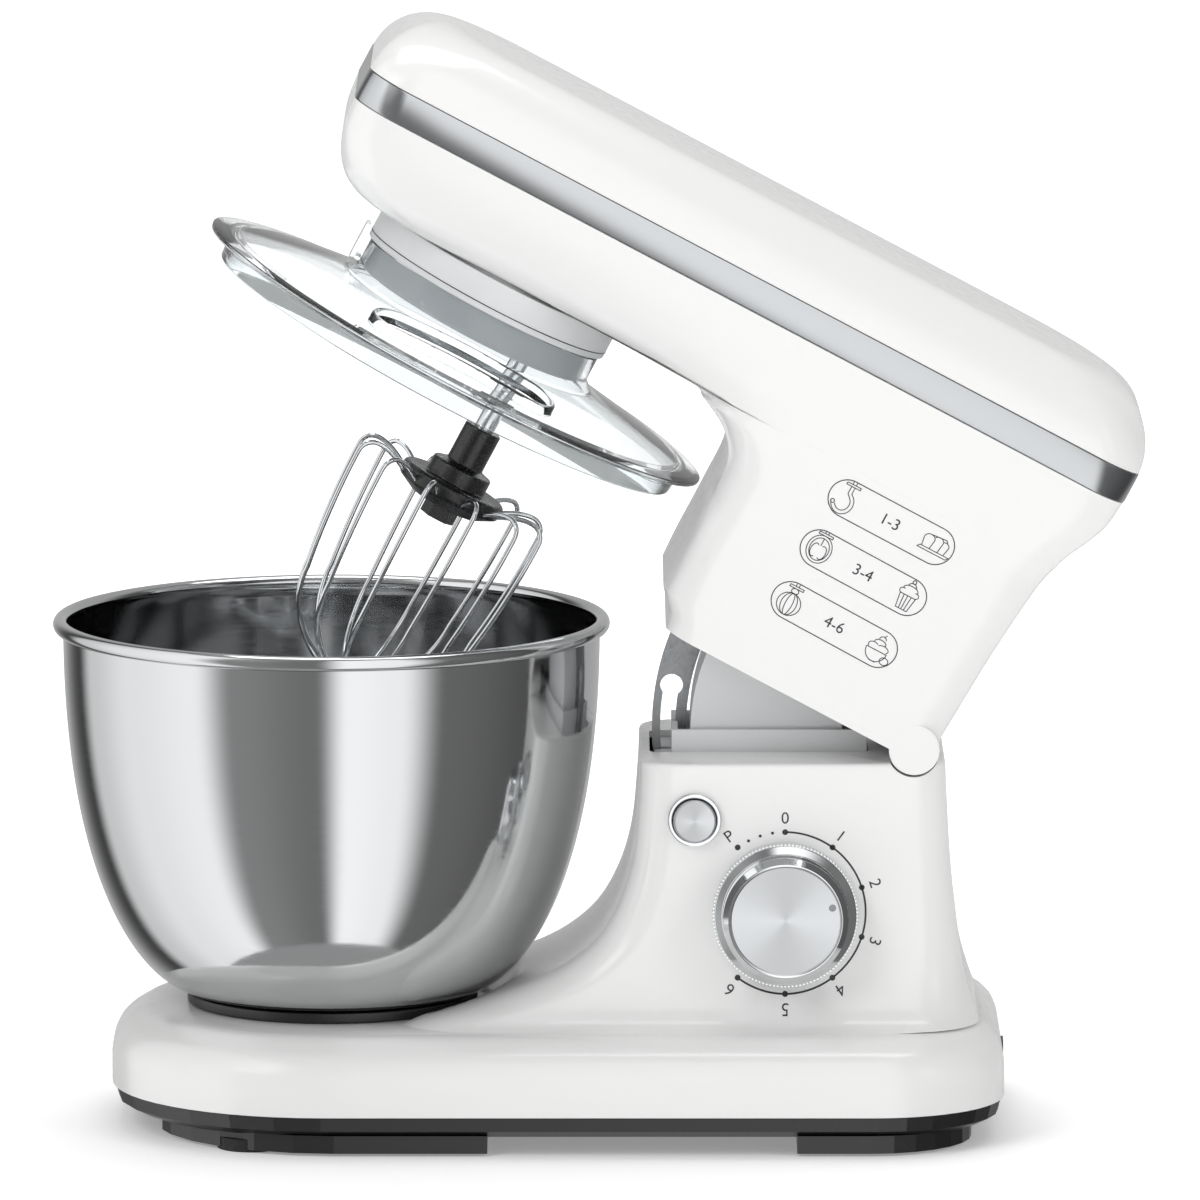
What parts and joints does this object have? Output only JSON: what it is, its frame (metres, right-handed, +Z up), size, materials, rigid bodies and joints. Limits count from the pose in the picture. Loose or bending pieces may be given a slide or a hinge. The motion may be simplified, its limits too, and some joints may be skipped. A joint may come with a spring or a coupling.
{
  "type": "stand mixer",
  "caption": "Tilt-head stand mixer with a planetary whisk, a rolled-rim mixing bowl, a clear splash guard with a feed opening and a rotary speed knob on the column.",
  "frame": {"origin": "on the surface the feet stand on, at the middle of the stored object's bounding box; the middle of the base is 16.5 mm in front of it", "axes": "+Z up, -X towards the bowl and the front, -Y towards the side with the speed knob and lock button"},
  "size_m": [0.4297, 0.22, 0.4371],
  "materials": {
    "white_abs": "moulded gloss",
    "black_plastic": "moulded satin",
    "grey_plastic": "moulded satin",
    "rubber": "matt",
    "bowl_steel": "polished stainless steel",
    "wire_steel": "polished stainless wire",
    "trim_metal": "satin trim",
    "knob_metal": "spun and chamfered",
    "plated_steel": "zinc plated",
    "gear_plastic": "moulded acetal",
    "gear_steel": "sintered",
    "bronze": "sintered, oiled",
    "copper": "enamelled wire",
    "cast_metal": "die cast",
    "board": "solder mask",
    "clear_plastic": "clear moulded"
  },
  "bodies": {
    "base": {"base_housing": "white_abs", "bottom_plate": "black_plastic", "rubber_feet": "rubber", "base_screws": "plated_steel", "bowl_seat": "black_plastic", "column_frame": "grey_plastic", "hinge_bracket": "plated_steel", "hinge_bushes": "bronze", "lock_bezel": "knob_metal", "lock_guide": "black_plastic", "dial_ring": "knob_metal", "speed_switch": "black_plastic", "switch_nut": "plated_steel", "control_board": "board", "board_posts": "black_plastic", "board_screws": "plated_steel", "cord_gland": "black_plastic", "lock_spring": "plated_steel"},
    "lock": {"lock_button": "knob_metal", "lock_slide": "plated_steel"},
    "knob": {"knob_body": "knob_metal", "knob_cap": "knob_metal", "switch_shaft": "plated_steel"},
    "bowl": {"bowl": "bowl_steel", "bowl_foot": "black_plastic"},
    "head": {"head_lower_shell": "white_abs", "head_top_cover": "white_abs", "trim_band": "trim_metal", "inner_shield": "grey_plastic", "lock_plate": "plated_steel", "hinge_pin": "plated_steel", "collar": "grey_plastic", "gearbox_housing": "cast_metal", "ring_gear": "gear_steel", "motor_stator": "plated_steel", "motor_windings": "copper", "motor_frames": "cast_metal", "carbon_brushes": "black_plastic", "head_screws": "plated_steel", "shaft_bearings": "plated_steel"},
    "motor": {"armature": "copper", "worm_shaft": "plated_steel", "commutator": "copper", "cooling_fan": "black_plastic"},
    "carrier": {"worm_wheel": "gear_plastic", "carrier_shaft": "plated_steel", "planet_carrier": "cast_metal", "beater_bushes": "bronze"},
    "beater": {"planet_gear": "gear_steel", "beater_shaft": "wire_steel", "drive_pin": "wire_steel", "whisk_hub": "black_plastic", "whisk_nut": "black_plastic", "whisk_wires": "wire_steel"},
    "guard": {"splash_guard": "clear_plastic"}
  },
  "joints": [
    {"name": "head_tilt", "type": "hinge", "parent": "base", "child": "head", "pos_m": [0.1235, 0, 0.155], "axis": [0, 1, 0], "range_deg": [-28, 0]},
    {"name": "carrier_spin", "type": "hinge", "parent": "head", "child": "carrier", "pos_m": [-0.04114, 0, 0.33315], "axis": [0.4695, 0, 0.8829], "continuous": true},
    {"name": "beater_spin", "type": "hinge", "parent": "carrier", "child": "beater", "pos_m": [-0.02934, 0, 0.30422], "axis": [0.4695, 0, 0.8829], "continuous": true},
    {"name": "motor_spin", "type": "hinge", "parent": "head", "child": "motor", "pos_m": [0.06693, 0.02375, 0.32552], "axis": [-0.8829, 0, 0.4695], "continuous": true},
    {"name": "speed_knob", "type": "hinge", "parent": "base", "child": "knob", "pos_m": [0.073, -0.065, 0.091], "axis": [0, 1, 0], "range_deg": [-108, 144]},
    {"name": "lock_press", "type": "slide", "parent": "base", "child": "lock", "axis": [0, 1, 0], "range_m": [-0.0045, 0], "stiffness_N_per_m": 400},
    {"name": "bowl_turn", "type": "hinge", "parent": "base", "child": "bowl", "pos_m": [-0.1055, 0, 0.05], "axis": [0, 0, 1], "range_deg": [0, 35]},
    {"name": "guard_turn", "type": "hinge", "parent": "head", "child": "guard", "pos_m": [-0.05053, 0, 0.31549], "axis": [0.4695, 0, 0.8829], "range_deg": [0, 25]}
  ],
  "couplings": [
    {"joint": "beater_spin", "follows": "carrier_spin", "ratio": -3},
    {"joint": "motor_spin", "follows": "carrier_spin", "ratio": -30}
  ]
}
